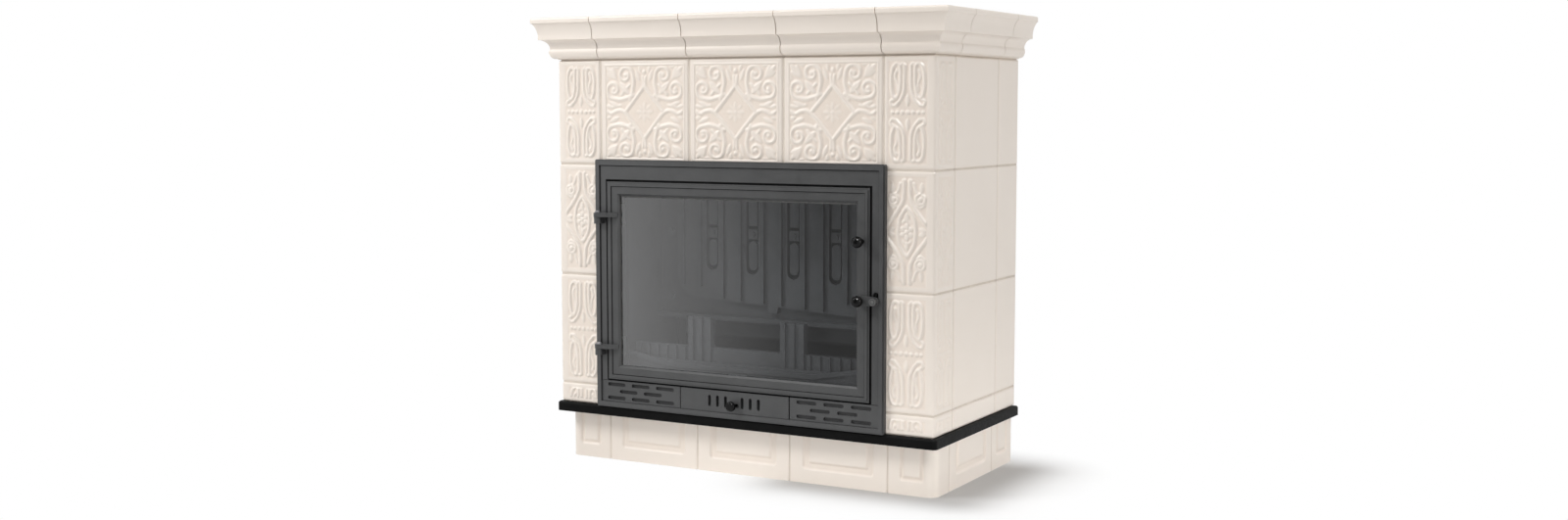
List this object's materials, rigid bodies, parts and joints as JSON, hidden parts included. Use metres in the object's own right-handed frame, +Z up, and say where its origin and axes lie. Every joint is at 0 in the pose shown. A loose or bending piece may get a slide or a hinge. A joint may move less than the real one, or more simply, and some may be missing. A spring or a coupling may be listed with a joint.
{
  "type": "tiled boiler fireplace",
  "caption": "Free-standing fireplace clad in relief tiles with a moulded cornice, around a cast-iron boiler insert with a hinged glass door, ball latch, ash drawer and air slide.",
  "frame": {"origin": "on the floor, under the middle of the tiled body's footprint", "axes": "+X to the right seen from the front, +Y from the door to the back, +Z up"},
  "size_m": [0.98, 0.4755, 0.965],
  "materials": {
    "glaze": "glossy ivory glaze over moulded tile",
    "grout": "matte joint mortar",
    "ledge_stone": "honed black ledge",
    "board": "matte insulating board",
    "black_steel": "satin black paint",
    "cast_iron": "fine-grained dark grey stove paint",
    "lining_iron": "bare cast iron, lighter than the painted front",
    "boiler_steel": "matte dark sheet steel",
    "steel": "plain steel",
    "black_knob": "polished black",
    "glass": "clear fireproof pane",
    "seal_rope": "woven glass-fibre rope"
  },
  "bodies": {
    "surround": {"plinth_front": "glaze", "plinth_corner_left": "glaze", "plinth_corner_right": "glaze", "plinth_side_left": "glaze", "plinth_side_right": "glaze", "field_tile_left": "glaze", "field_tile_mid": "glaze", "field_tile_right": "glaze", "corner_tiles_left": "glaze", "corner_tiles_right": "glaze", "side_tiles_left": "glaze", "side_tiles_right": "glaze", "cornice_front": "glaze", "cornice_corner_left": "glaze", "cornice_corner_right": "glaze", "cornice_side_left": "glaze", "cornice_side_right": "glaze", "mortar": "grout", "ledge_band": "ledge_stone", "core_front": "board", "core_left": "board", "core_right": "board", "core_back": "board", "base_slab": "board", "top_plate": "black_steel", "front_frame": "cast_iron", "vent_panel_left": "cast_iron", "vent_panel_right": "cast_iron", "ash_runners": "cast_iron", "smoke_hood": "cast_iron", "flue_collar": "cast_iron", "side_lining_left": "lining_iron", "side_lining_right": "lining_iron", "back_lining": "lining_iron", "back_ledge": "lining_iron", "slot_bridges": "lining_iron", "hearth_bed": "lining_iron", "hearth_lip": "lining_iron", "grate": "lining_iron", "log_guard": "lining_iron", "baffle": "lining_iron", "base_plate": "lining_iron", "water_jacket": "boiler_steel", "jacket_sockets": "boiler_steel", "insert_feet": "boiler_steel", "hinge_pins": "steel", "frame_screws": "steel"},
    "door": {"door_frame": "cast_iron", "door_glass": "glass", "glass_gasket": "seal_rope", "glass_clips": "steel", "door_seal": "seal_rope", "pull_knob": "black_knob"},
    "latch": {"latch_lever": "cast_iron", "latch_spindle": "steel", "latch_ball": "black_knob"},
    "ash_drawer": {"ash_front": "cast_iron", "ash_pan": "boiler_steel"},
    "air_control": {"air_slider": "boiler_steel", "air_knob": "black_knob"}
  },
  "joints": [
    {"name": "door_hinge", "type": "hinge", "parent": "surround", "child": "door", "pos_m": [-0.33, -0.239, 0.4], "axis": [0, 0, -1], "range_deg": [0, 115]},
    {"name": "latch_turn", "type": "hinge", "parent": "door", "child": "latch", "pos_m": [0.296, -0.231, 0.39], "axis": [0, -1, 0], "range_deg": [0, 20]},
    {"name": "ash_slide", "type": "slide", "parent": "surround", "child": "ash_drawer", "axis": [0, -1, 0], "range_m": [0, 0.18]},
    {"name": "air_slide", "type": "slide", "parent": "ash_drawer", "child": "air_control", "axis": [1, 0, 0], "range_m": [-0.009, 0.009]}
  ]
}
